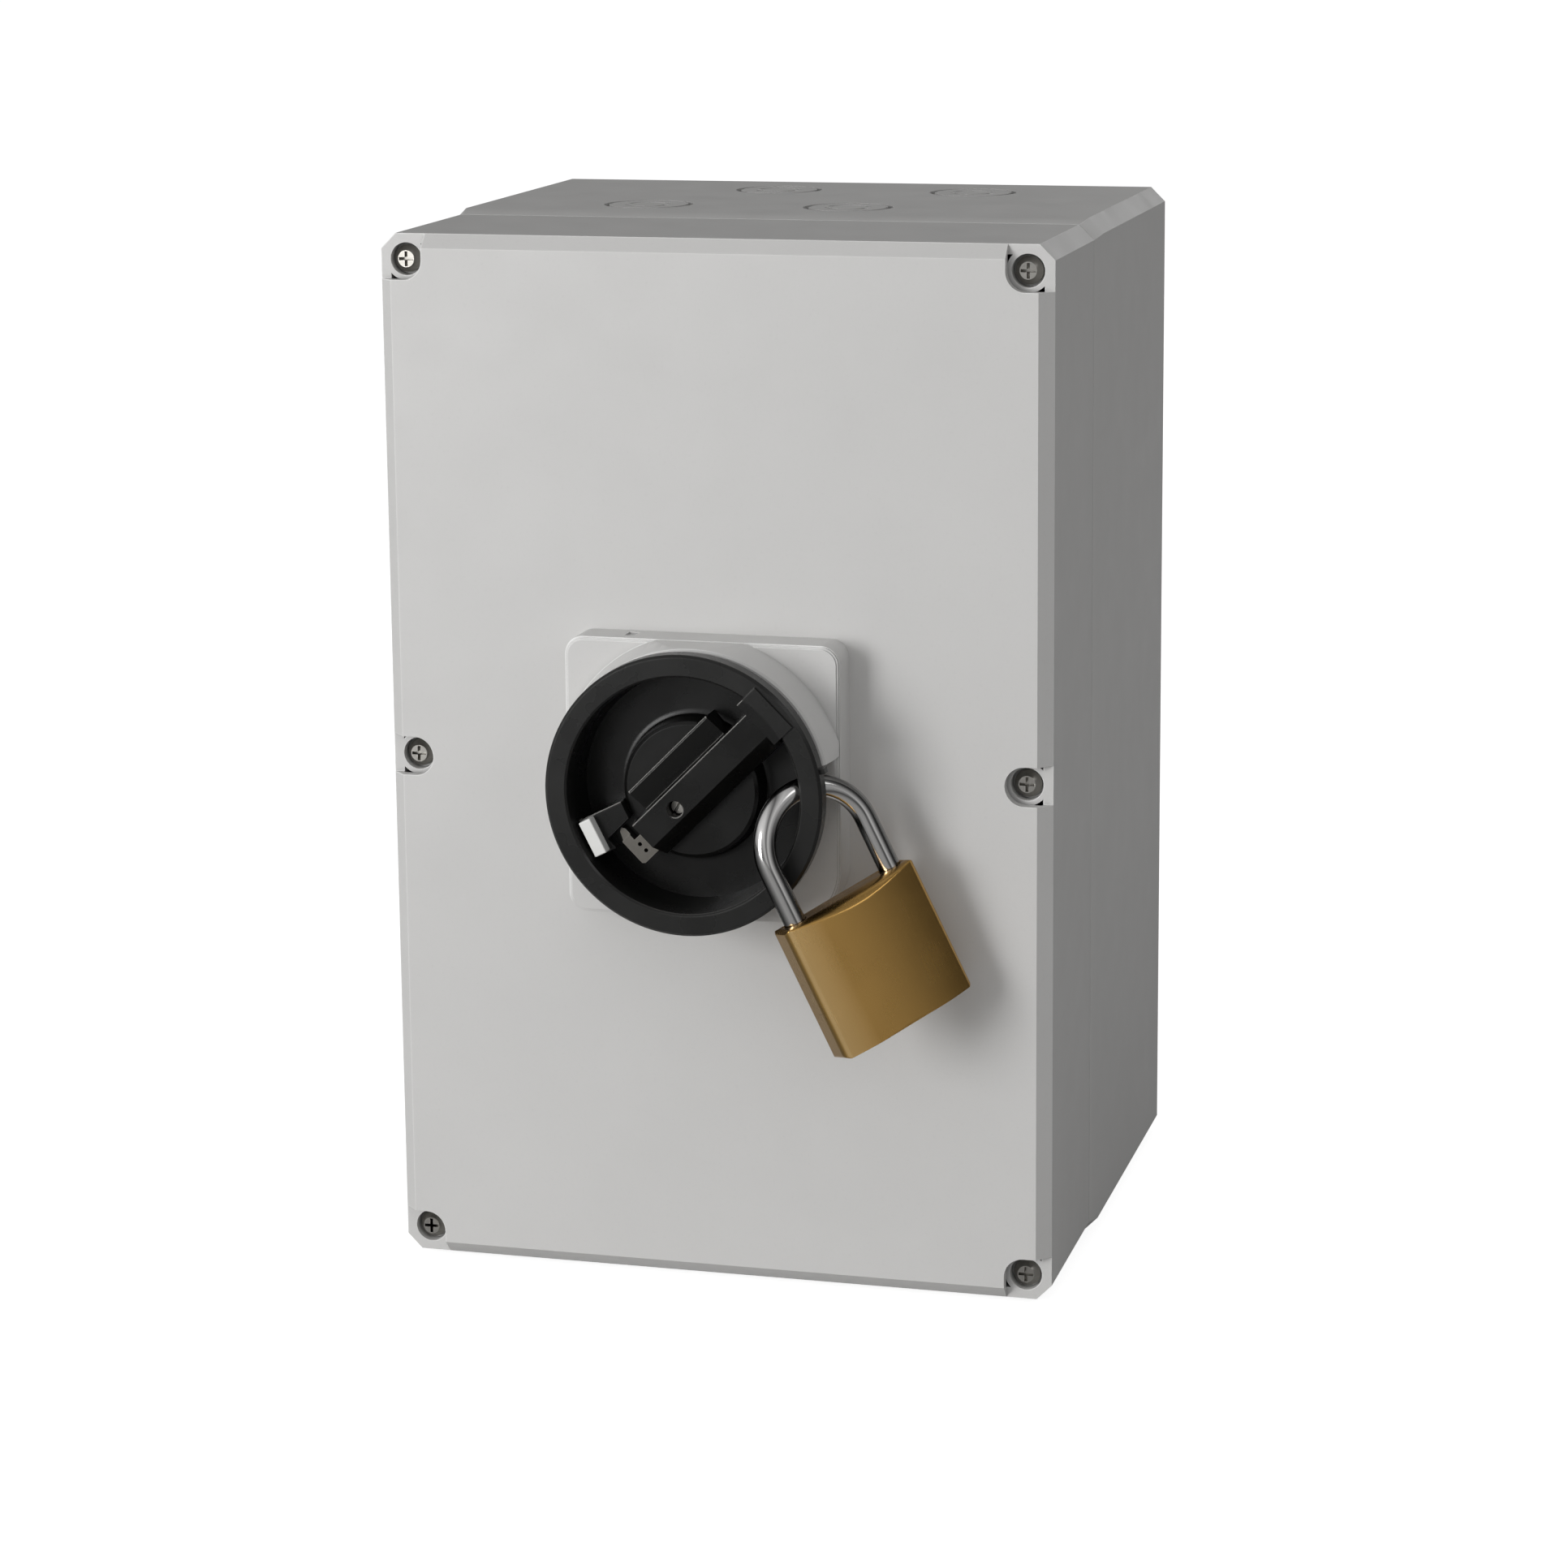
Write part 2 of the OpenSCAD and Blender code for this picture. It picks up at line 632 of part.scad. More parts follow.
module switch_terminal_screws() {
  color("silver") for (n = [1:3]) for (s = [-1, 1])
    on_wall(deck_y0 + (n - 1) * deck_t + blade_y + 1.85) translate([terminal_x[n - 1], s * 38, 0]) {
      pan_screw(1.75, 6, 3.3, 2.4);
      difference() {
        translate([-4.6, -3.6, -6.5]) cube([9.2, 7.2, 3]);
        translate([0, 0, -8]) cylinder(r = 1.7, h = 10);
      }
    }
}

module drive_housing() {
  color([0.2, 0.2, 0.2]) on_wall(drive_y) difference() {
    linear_extrude(drive_t) cut_rect(deck_w, deck_w, 5);
    translate([0, 0, -1]) cylinder(r = 21, h = drive_t - 2, $fn = 96);
    translate([0, 0, -1]) cylinder(r = journal_r + 0.08, h = 30);
    translate([0, 0, -1]) four_ways(tie_spot, tie_spot) cylinder(r = 1.8, h = drive_t + 2);
  }
}

module tie_screws() {
  len = 3 * deck_t + drive_t + 3;
  color("silver") on_wall(drive_y + drive_t) four_ways(tie_spot, tie_spot) pan_screw(1.6, len, 3, 2.2);
}

// Two leaf springs that press on the flats of the detent cam
module detent_springs() {
  color("silver") on_wall(drive_y + 3) for (s = [-1, 1]) {
    translate([-9, s * 15.6 - 0.4, 0]) cube([18, 0.8, 6]);
    for (x = [-1, 1]) translate([x * 9 - 0.4, s < 0 ? -16 : 15.2, 0]) cube([0.8, 0.8, 6]);
  }
}

module spindle() {
  color("silver") on_wall(switch_y + 1) {
    translate([-spindle_w / 2, -spindle_w / 2, 0]) cube([spindle_w, spindle_w, drive_y + drive_t - switch_y - 2]);
    translate([0, 0, drive_y + drive_t - switch_y - 3])
      cylinder(r = journal_r, h = coupler_y - drive_y - drive_t + 2);
  }
}

module square_hole(w, h) {
  translate([-w / 2, -w / 2, -1]) cube([w, w, h + 2]);
}

module rotor_hub(n) {
  y0 = deck_y0 + (n - 1) * deck_t;
  color("ivory") on_wall(y0) difference() {
    union() {
      translate([0, 0, 0.5]) cylinder(r = journal_r, h = 4);
      translate([0, 0, 3.4]) cylinder(d = hub_d, h = 9.4);
    }
    square_hole(spindle_w, deck_t);
    translate([-blade_len / 2, -blade_w / 2, blade_y]) cube([blade_len, blade_w, blade_t]);
  }
}

// Bridging blade: level at off, upright between the jaws at on
module moving_blade(n) {
  y0 = deck_y0 + (n - 1) * deck_t + blade_y;
  color("peru") on_wall(y0) difference() {
    intersection() {
      translate([-blade_len / 2, -blade_w / 2, 0]) cube([blade_len, blade_w, blade_t]);
      cylinder(d = blade_len, h = blade_t, $fn = 96);
    }
    square_hole(spindle_w, blade_t);
  }
}

module detent_cam() {
  color("ivory") on_wall(drive_y + 2.5) difference() {
    intersection() {
      cylinder(r = 15, h = 7);
      translate([-14, -14, 0]) cube([28, 28, 7]);
    }
    square_hole(spindle_w, 7);
  }
}

module extension_shaft() {
  color("silver") on_wall(coupler_y) {
    translate([-shaft_w / 2, -shaft_w / 2, 0]) cube([shaft_w, shaft_w, shaft_front - coupler_y]);
    difference() {
      cylinder(r = 8, h = 12);
      translate([-20, -1.2, 5]) cube([40, 2.4, 3]);
    }
  }
}

// ---------- fuses ----------

module fuse_base(n) {
  x0 = fuse_x[n - 1];
  color([0.22, 0.22, 0.22]) difference() {
    box_at(x0 - fuse_base_w / 2, x0 + fuse_base_w / 2, switch_y, fuse_front,
           fuse_z - fuse_base_h / 2, fuse_z + fuse_base_h / 2);
    for (s = [-1, 1]) {
      end_z = fuse_z + s * fuse_base_h / 2;
      jaw_z = fuse_z + s * blade_off;
      pit_z = end_z - s * 11;
      box_at(x0 - 10, x0 + 10, fuse_front - 14, fuse_front + 1, min(end_z, pit_z), max(end_z, pit_z) + eps);
      box_at(x0 - 8, x0 + 8, fuse_front - 16, fuse_front + 1, jaw_z - 5, jaw_z + 5);
      box_at(x0 - 5, x0 + 5, fuse_front - 16, fuse_front - 12.5, min(jaw_z, end_z), max(jaw_z, end_z));
    }
  }
}

// Sprung jaws and terminal straps, one at each end of every base
module fuse_jaws() {
  color("peru") for (x0 = fuse_x) for (s = [-1, 1]) {
    jaw_z = fuse_z + s * blade_off;
    strap_z = fuse_z + s * (fuse_base_h / 2 - 1);
    box_at(x0 - 4.6, x0 + 4.6, fuse_front - 15.8, fuse_front - 14.3, min(jaw_z, strap_z), max(jaw_z, strap_z));
    for (z = [jaw_z - fuse_blade_t / 2 - 1.4, jaw_z + fuse_blade_t / 2 + 0.2])
      box_at(x0 - 6.5, x0 + 6.5, fuse_front - 15.8, fuse_front - 3, z, z + 1.2);
    box_at(x0 - 6.5, x0 + 6.5, fuse_front - 15.8, fuse_front - 14.3, jaw_z - 2.6, jaw_z + 2.6);
  }
}

module fuse_terminal_screws() {
  color("silver") for (x0 = fuse_x) for (s = [-1, 1])
    on_wall(fuse_front - 14.2) translate([x0, fuse_z + s * (fuse_base_h / 2 - 5.5), 0]) {
      cylinder(r = 1.9, h = 8);
      translate([0, 0, 6]) difference() {
        cylinder(r = 3.4, h = 2.4);
        translate([-3, -0.4, 1.4]) cube([6, 0.8, 2]);
      }
    }
}

// Pull-out carrier: a box that holds the fuse, with a ribbed grip at the front
module fuse_carrier(n) {
  x0 = fuse_x[n - 1];
  y0 = fuse_front + carrier_gap;
  y1 = y0 + carrier_t;
  color([0.12, 0.12, 0.12]) difference() {
    union() {
      box_at(x0 - carrier_w / 2, x0 + carrier_w / 2, y0, y0 + 22, fuse_z - carrier_h / 2, fuse_z + carrier_h / 2);
      box_at(x0 - 8, x0 + 8, y0 + 21, y1, fuse_z - 20, fuse_z + 20);
    }
    translate([x0, -fuse_y, fuse_z - fuse_len / 2 - 2.4]) cylinder(d = fuse_d + 0.6, h = fuse_len + 4.8);
    box_at(x0 - fuse_d / 2, x0 + fuse_d / 2, y0 - 1, fuse_y, fuse_z - 12, fuse_z + 12);
    for (s = [-1, 1]) box_at(x0 - 6.4, x0 + 6.4, y0 - 1, fuse_y,
      fuse_z + s * blade_off - fuse_blade_t / 2 - 0.1, fuse_z + s * blade_off + fuse_blade_t / 2 + 0.1);
    for (z = [-15:6:15]) for (s = [-1, 1])
      box_at(x0 + s * 8 - 0.8, x0 + s * 8 + 0.8, y1 - 9, y1 + 1, fuse_z + z - 1.2, fuse_z + z + 1.2);
  }
}

module carrier_blades(n) {
  x0 = fuse_x[n - 1];
  color("peru") for (s = [-1, 1]) {
    z0 = fuse_z + s * blade_off;
    box_at(x0 - 6, x0 + 6, fuse_front - 12, fuse_y, z0 - fuse_blade_t / 2 + 0.2, z0 + fuse_blade_t / 2 - 0.2);
  }
}

module fuse_link(n) {
  inner = blade_off - fuse_blade_t / 2;
  cap = 9;
  color("ivory") translate([fuse_x[n - 1], -fuse_y, fuse_z]) {
    translate([0, 0, -inner]) cylinder(d = fuse_d, h = cap);
    translate([0, 0, inner - cap]) cylinder(d = fuse_d, h = cap);
    translate([0, 0, -inner + 1]) cylinder(d = fuse_d - 0.8, h = 2 * inner - 2);
  }
}

// ---------- earth, neutral and links ----------

module rail_terminal(x0, z0) {
  difference() {
    box_at(x0 - 5, x0 + 5, switch_y, switch_y + 12, z0 - 18, z0 + 18);
    for (z = [-12:8:12]) {
      translate([x0, -switch_y - 5, z0 + z]) rotate([0, 90, 0]) cylinder(r = 2, h = 20, center = true);
      on_wall(switch_y + 5) translate([x0, z0 + z, 0]) cylinder(r = 1.6, h = 10);
    }
  }
  for (z = [-12:8:12]) on_wall(switch_y + 7.4) translate([x0, z0 + z, 0]) cylinder(r = 1.5, h = 3.6);
}

module earth_terminal() {
  color("gold") rail_terminal(-58, -92);
}

module neutral_terminal() {
  color("gold") rail_terminal(58, -92);
}

// Short insulated links from the switch's load tabs to the fuse bases
module rod(a, b, r) {
  d = b - a;
  translate(a) rotate([0, acos(d[2] / norm(d)), atan2(d[1], d[0])]) cylinder(r = r, h = norm(d), $fn = 24);
}

module link_wires() {
  r = 1.8;
  color("black") for (n = [1:3]) {
    y0 = -(deck_y0 + (n - 1) * deck_t + blade_y - 2.1);
    top = [terminal_x[n - 1], y0, -45];
    knee = [fuse_x[n - 1], -(fuse_front - 7.4), -47.5];
    foot = [fuse_x[n - 1], -(fuse_front - 7.4), fuse_z + fuse_base_h / 2 - 2];
    for (bend = [top, knee]) translate(bend) sphere(r = r + 0.3, $fn = 24);
    rod(top, knee, r);
    rod(knee, foot, r);
  }
}

enclosure_base();
mounting_plate();
mounting_plate_screws();
lid();
lid_gasket();
lid_screws();
escutcheon();
escutcheon_seal();
escutcheon_screws();
handle_knob();
position_marker();
lock_slide();
defeat_screw();
shaft_socket();
retaining_ring();
padlock_shackle();
padlock_body();
padlock_key_plug();
switch_base();
switch_deck(1);  // switch_deck_1
switch_deck(2);  // switch_deck_2
switch_deck(3);  // switch_deck_3
drive_housing();
tie_screws();
line_contact(1);  // line_contact_1
line_contact(2);  // line_contact_2
line_contact(3);  // line_contact_3
load_contact(1);  // load_contact_1
load_contact(2);  // load_contact_2
load_contact(3);  // load_contact_3
switch_terminal_screws();
detent_springs();
spindle();
rotor_hub(1);  // rotor_hub_1
rotor_hub(2);  // rotor_hub_2
rotor_hub(3);  // rotor_hub_3
moving_blade(1);  // moving_blade_1
moving_blade(2);  // moving_blade_2
moving_blade(3);  // moving_blade_3
detent_cam();
extension_shaft();
fuse_base(1);  // fuse_base_1
fuse_base(2);  // fuse_base_2
fuse_base(3);  // fuse_base_3
fuse_jaws();
fuse_terminal_screws();
fuse_carrier(1);  // fuse_carrier_1
fuse_carrier(2);  // fuse_carrier_2
fuse_carrier(3);  // fuse_carrier_3
carrier_blades(1);  // carrier_blades_1
carrier_blades(2);  // carrier_blades_2
carrier_blades(3);  // carrier_blades_3
fuse_link(1);  // fuse_link_1
fuse_link(2);  // fuse_link_2
fuse_link(3);  // fuse_link_3
earth_terminal();
neutral_terminal();
link_wires();
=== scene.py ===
import json
import math

import bmesh
import bpy
from mathutils import Euler, Matrix, Vector


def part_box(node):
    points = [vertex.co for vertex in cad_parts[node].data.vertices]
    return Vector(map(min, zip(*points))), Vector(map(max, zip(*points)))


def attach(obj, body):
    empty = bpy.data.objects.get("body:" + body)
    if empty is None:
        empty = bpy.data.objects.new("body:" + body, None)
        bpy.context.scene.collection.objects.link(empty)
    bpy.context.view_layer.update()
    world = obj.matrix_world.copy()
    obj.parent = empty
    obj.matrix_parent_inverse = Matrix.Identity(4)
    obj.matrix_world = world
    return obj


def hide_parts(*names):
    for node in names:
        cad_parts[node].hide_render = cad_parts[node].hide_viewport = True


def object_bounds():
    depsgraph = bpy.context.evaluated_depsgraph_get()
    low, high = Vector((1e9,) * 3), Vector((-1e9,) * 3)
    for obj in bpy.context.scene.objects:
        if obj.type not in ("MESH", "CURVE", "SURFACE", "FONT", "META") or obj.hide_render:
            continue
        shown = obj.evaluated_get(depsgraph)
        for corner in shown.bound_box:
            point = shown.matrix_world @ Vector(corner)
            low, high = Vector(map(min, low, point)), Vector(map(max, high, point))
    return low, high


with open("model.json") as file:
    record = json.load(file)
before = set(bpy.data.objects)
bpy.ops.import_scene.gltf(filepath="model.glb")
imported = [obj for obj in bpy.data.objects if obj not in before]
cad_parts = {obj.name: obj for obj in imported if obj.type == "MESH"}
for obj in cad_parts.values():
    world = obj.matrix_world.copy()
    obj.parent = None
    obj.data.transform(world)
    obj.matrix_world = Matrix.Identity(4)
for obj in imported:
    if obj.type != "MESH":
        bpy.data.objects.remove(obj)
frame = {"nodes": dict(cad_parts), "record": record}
NODES = frame["nodes"]
CAD_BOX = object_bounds()
MM = 0.001

# The padlock's own axes: x along its width, z up the shackle, the middle of the bend at the origin
PAD_CROWN = Vector((31.7, -205.0, 2.1)) * MM
PAD_TURN = Euler([math.radians(a) for a in (-14.0, -20.8, 45.0)])
PAD_PLACE = Matrix.Translation(PAD_CROWN) @ PAD_TURN.to_matrix().to_4x4()
PAD_ACROSS = tuple(PAD_TURN.to_matrix().col[0])

SHACKLE_BEND = 16.7 * MM
SHACKLE_BAR = 3.25 * MM
SHORT_LEG_END = -42.7 * MM
LONG_LEG_END = -56.7 * MM
CASE_TOP = -32.7 * MM
CASE_HEIGHT = 41 * MM
CASE_WIDTH = 45 * MM
CASE_THICK = 16 * MM
CASE_EDGE_THICK = 9.4 * MM
CASE_CORNER = 2.6 * MM


# ---------- materials ----------

class Look:
    """A procedural material: one Principled shader fed by noise in object coordinates."""

    def __init__(self, name, metallic=0.0, constants=()):
        self.material = bpy.data.materials.new(name)
        self.material.use_nodes = True
        self.nodes = self.material.node_tree.nodes
        self.links = self.material.node_tree.links
        self.shader = self.nodes["Principled BSDF"]
        self.shader.inputs["Metallic"].default_value = metallic
        for socket, value in dict(constants).items():
            self.shader.inputs[socket].default_value = value
        self.place = self.nodes.new("ShaderNodeTexCoord").outputs["Object"]

    def feed(self, socket, value):
        """Links value to the socket, or sets it there when it is a plain number or colour."""
        if isinstance(value, bpy.types.NodeSocket):
            self.links.new(value, socket)
        elif socket.type == "RGBA":
            socket.default_value = (*value, 1.0)
        else:
            socket.default_value = value

    def turned(self, rotation, stretch):
        """Object coordinates turned back by rotation and then scaled."""
        back = self.nodes.new("ShaderNodeMapping")
        back.vector_type = "TEXTURE"
        back.inputs["Rotation"].default_value = rotation
        self.feed(back.inputs["Vector"], self.place)
        scale = self.nodes.new("ShaderNodeMapping")
        scale.inputs["Scale"].default_value = stretch
        self.feed(scale.inputs["Vector"], back.outputs["Vector"])
        return scale.outputs["Vector"]

    def noise(self, size, detail=2.0, place=None, contrast=None):
        """Noise from 0 to 1 whose grains are about size metres wide."""
        made = self.nodes.new("ShaderNodeTexNoise")
        made.inputs["Scale"].default_value = 1.0 / size
        made.inputs["Detail"].default_value = detail
        self.feed(made.inputs["Vector"], place or self.place)
        out = made.outputs["Fac"]
        return self.range(out, *contrast) if contrast else out

    def range(self, value, low, high, to_low=0.0, to_high=1.0):
        made = self.nodes.new("ShaderNodeMapRange")
        self.feed(made.inputs["Value"], value)
        made.inputs["From Min"].default_value = low
        made.inputs["From Max"].default_value = high
        made.inputs["To Min"].default_value = to_low
        made.inputs["To Max"].default_value = to_high
        return made.outputs["Result"]

    def math(self, operation, a, b):
        made = self.nodes.new("ShaderNodeMath")
        made.operation = operation
        self.feed(made.inputs[0], a)
        self.feed(made.inputs[1], b)
        return made.outputs[0]

    def mix(self, factor, a, b):
        made = self.nodes.new("ShaderNodeMix")
        made.data_type = "RGBA"
        self.feed(made.inputs[0], factor)
        self.feed(made.inputs[6], a)
        self.feed(made.inputs[7], b)
        return made.outputs[2]

    def dot(self, a, b):
        made = self.nodes.new("ShaderNodeVectorMath")
        made.operation = "DOT_PRODUCT"
        self.feed(made.inputs[0], a)
        self.feed(made.inputs[1], b)
        return made.outputs["Value"]

    def edges(self, radius, gain, toward=None):
        """1 along the shape's edges, within radius, and 0 elsewhere; toward keeps those that lean there."""
        rounded = self.nodes.new("ShaderNodeBevel")
        rounded.samples = 4
        rounded.inputs["Radius"].default_value = radius
        plain = self.nodes.new("ShaderNodeNewGeometry")
        mask = self.range(self.dot(rounded.outputs["Normal"], plain.outputs["Normal"]), 1.0, 1.0 - gain)
        if toward:
            lean = self.range(self.dot(rounded.outputs["Normal"], toward), 0.15, 0.45)
            mask = self.math("MULTIPLY", mask, lean)
        return mask

    def crevices(self, reach):
        """1 in grooves and corners narrower than reach, and 0 in the open."""
        open_sky = self.nodes.new("ShaderNodeAmbientOcclusion")
        open_sky.samples = 6
        open_sky.only_local = True
        open_sky.inputs["Distance"].default_value = reach
        return self.range(open_sky.outputs["AO"], 0.85, 0.35)

    def axle_distance(self):
        """Distance from the handle's axle, which is the frame's Y axis."""
        flat = self.nodes.new("ShaderNodeVectorMath")
        flat.operation = "MULTIPLY"
        self.feed(flat.inputs[0], self.place)
        flat.inputs[1].default_value = (1.0, 0.0, 1.0)
        length = self.nodes.new("ShaderNodeVectorMath")
        length.operation = "LENGTH"
        self.feed(length.inputs[0], flat.outputs["Vector"])
        return length.outputs["Value"]

    def bump(self, height, strength, distance):
        made = self.nodes.new("ShaderNodeBump")
        made.inputs["Strength"].default_value = strength
        made.inputs["Distance"].default_value = distance
        self.feed(made.inputs["Height"], height)
        return made.outputs["Normal"]

    def finish(self, color, roughness, normal):
        self.feed(self.shader.inputs["Base Color"], color)
        self.feed(self.shader.inputs["Roughness"], roughness)
        self.feed(self.shader.inputs["Normal"], normal)
        return self.material


def tint(color, factor):
    return tuple(min(1.0, c * factor) for c in color)


def plastic(name, color, rough=0.45, grain=0.4 * MM, relief=0.025 * MM, mottle=0.05, wear=1.25, shine=0.5,
            crevice_shade=0.45, shine_line=None, dish_shade=None):
    """Moulded plastic: fine spark-eroded grain, faint flow marks, edges rubbed lighter and painted shade
    darkening grooves and corners.

    shine_line is (direction, colour, how far back it shows), a painted highlight on edges that lean towards
    the window;
    heart is (radius, colour), painted shade that darkens the dish near the axle.
    """
    look = Look(name, constants={"Specular IOR Level": shine, "IOR": 1.5})
    cloud = look.noise(45 * MM, 3.0, contrast=(0.3, 0.7))
    body = look.mix(cloud, tint(color, 1.0 - mottle), tint(color, 1.0 + mottle))
    inside = None
    # painted shade: inside the dish round the axle the colour is swapped for a darker copy
    if dish_shade:
        inside = look.range(look.axle_distance(), dish_shade[0] + 0.3 * MM, dish_shade[0] - 0.3 * MM)
        body = look.mix(inside, body, dish_shade[1])
    speck = look.noise(1.1 * MM, 2.0, contrast=(0.58, 0.75))
    body = look.mix(look.math("MULTIPLY", speck, 0.12), body, tint(color, 0.8))
    rub = look.math("MULTIPLY", look.edges(0.7 * MM, 0.35), look.noise(6 * MM, 3.0, contrast=(0.35, 0.7)))
    body = look.mix(look.math("MULTIPLY", rub, 0.5), body, tint(color, wear))
    # painted shade: the colour is darkened in grooves and corners that the ambient occlusion finds closed in
    if crevice_shade:
        body = look.mix(look.math("MULTIPLY", look.crevices(2.5 * MM), crevice_shade), body, tint(color, 0.25))
    # painted highlight: edges that lean towards the window get a lighter colour, only in front of the given
    # depth and dimmed in the dish
    if shine_line:
        line = look.edges(0.7 * MM, 0.07, shine_line[0])
        if inside:
            line = look.math("MULTIPLY", line, look.range(inside, 0.0, 1.0, 0.12, 1.0))
        depth = look.dot(look.place, (0.0, 1.0, 0.0))
        nearer = look.range(depth, shine_line[2] + 0.5 * MM, shine_line[2] - 0.5 * MM)
        line = look.math("MULTIPLY", line, nearer)
        body = look.mix(line, body, shine_line[1])
    scuff = look.noise(14 * MM, 4.0)
    roughness = look.range(scuff, 0.3, 0.7, rough - 0.06, rough + 0.06)
    normal = look.bump(look.noise(grain, 3.0), 0.5, relief)
    return look.finish(body, roughness, normal)


def metal(name, color, rough=0.25, turn=(0, 0, 0), brush=(1, 1, 1), streak=0.35 * MM, depth=0.004 * MM,
          stain=0.12, stain_color=None, wear=1.2, polished=(), painted_reflection_bands=None):
    """Metal with fine brush or drawing marks, slow tarnish, edges worn to a brighter polish, and optional
    painted light.

    polished lists (direction, low, high, colour) for painted highlight and painted shade on the rounding
    that faces there; drawn is (direction, [(lean, shade), ...]) for a painted reflection: lengthwise light
    and dark bands round a bar.
    """
    look = Look(name, metallic=1.0)
    marks = look.noise(streak, 4.0, look.turned(turn, brush))
    cloud = look.noise(11 * MM, 4.0, contrast=(0.35, 0.7))
    dull = stain_color or tint(color, 0.7)
    body = look.mix(look.math("MULTIPLY", cloud, stain), color, dull)
    body = look.mix(look.math("MULTIPLY", marks, 0.18), body, tint(color, 0.75))
    rub = look.edges(0.5 * MM, 0.4)
    body = look.mix(look.math("MULTIPLY", rub, 0.45), body, tint(color, wear))
    # painted highlight and painted shade: a colour laid on the surface that faces each given direction
    for toward, low, high, painted_tone in polished:
        facing = look.dot(look.nodes.new("ShaderNodeNewGeometry").outputs["Normal"], toward)
        body = look.mix(look.range(facing, low, high), body, painted_tone)
    # painted reflection: the colour is multiplied by light and dark lengthwise bands set by how the normal
    # leans across the bar
    if painted_reflection_bands:
        ramp = look.nodes.new("ShaderNodeValToRGB")
        lean = look.dot(look.nodes.new("ShaderNodeNewGeometry").outputs["Normal"], painted_reflection_bands[0])
        look.feed(ramp.inputs["Fac"], look.range(lean, -1.0, 1.0))
        for spot, shade in painted_reflection_bands[1]:
            band = ramp.color_ramp.elements.new(spot)
            band.color = (shade, shade, shade, 1.0)
        body = look.mix(1.0, body, body)
        body.node.blend_type = "MULTIPLY"
        look.feed(body.node.inputs[7], ramp.outputs["Color"])
    spots = look.math("ADD", look.math("MULTIPLY", cloud, 0.08), look.math("MULTIPLY", marks, 0.1))
    roughness = look.math("ADD", spots, rough - 0.09)
    normal = look.bump(marks, 0.35, depth)
    return look.finish(body, roughness, normal)


def rubber(name, color):
    """Matt black elastomer with mould bloom."""
    look = Look(name, constants={"Specular IOR Level": 0.25})
    bloom = look.noise(5 * MM, 4.0, contrast=(0.4, 0.75))
    body = look.mix(look.math("MULTIPLY", bloom, 0.3), color, tint(color, 2.0))
    roughness = look.range(bloom, 0.0, 1.0, 0.7, 0.85)
    return look.finish(body, roughness, look.bump(look.noise(0.5 * MM), 0.4, 0.03 * MM))


def ceramic(name, glaze, band, cap_from):
    """Glazed barrel with plated end caps beyond cap_from, measured up and down from the fuse's middle."""
    look = Look(name, constants={"Coat Weight": 0.3, "Coat Roughness": 0.08})
    split = look.nodes.new("ShaderNodeSeparateXYZ")
    look.feed(split.inputs[0], look.place)
    middle = (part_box("fuse_link_1")[0].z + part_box("fuse_link_1")[1].z) / 2
    away = look.math("ABSOLUTE", look.math("SUBTRACT", split.outputs["Z"], middle), 0.0)
    cap = look.range(away, cap_from - 0.1 * MM, cap_from + 0.1 * MM)
    cloud = look.noise(4 * MM, 4.0)
    body = look.mix(cap, look.mix(cloud, glaze, tint(glaze, 0.93)), look.mix(cloud, band, tint(band, 0.85)))
    look.feed(look.shader.inputs["Metallic"], cap)
    roughness = look.range(cloud, 0.3, 0.7, 0.22, 0.34)
    return look.finish(body, roughness, look.bump(look.noise(0.8 * MM), 0.2, 0.01 * MM))


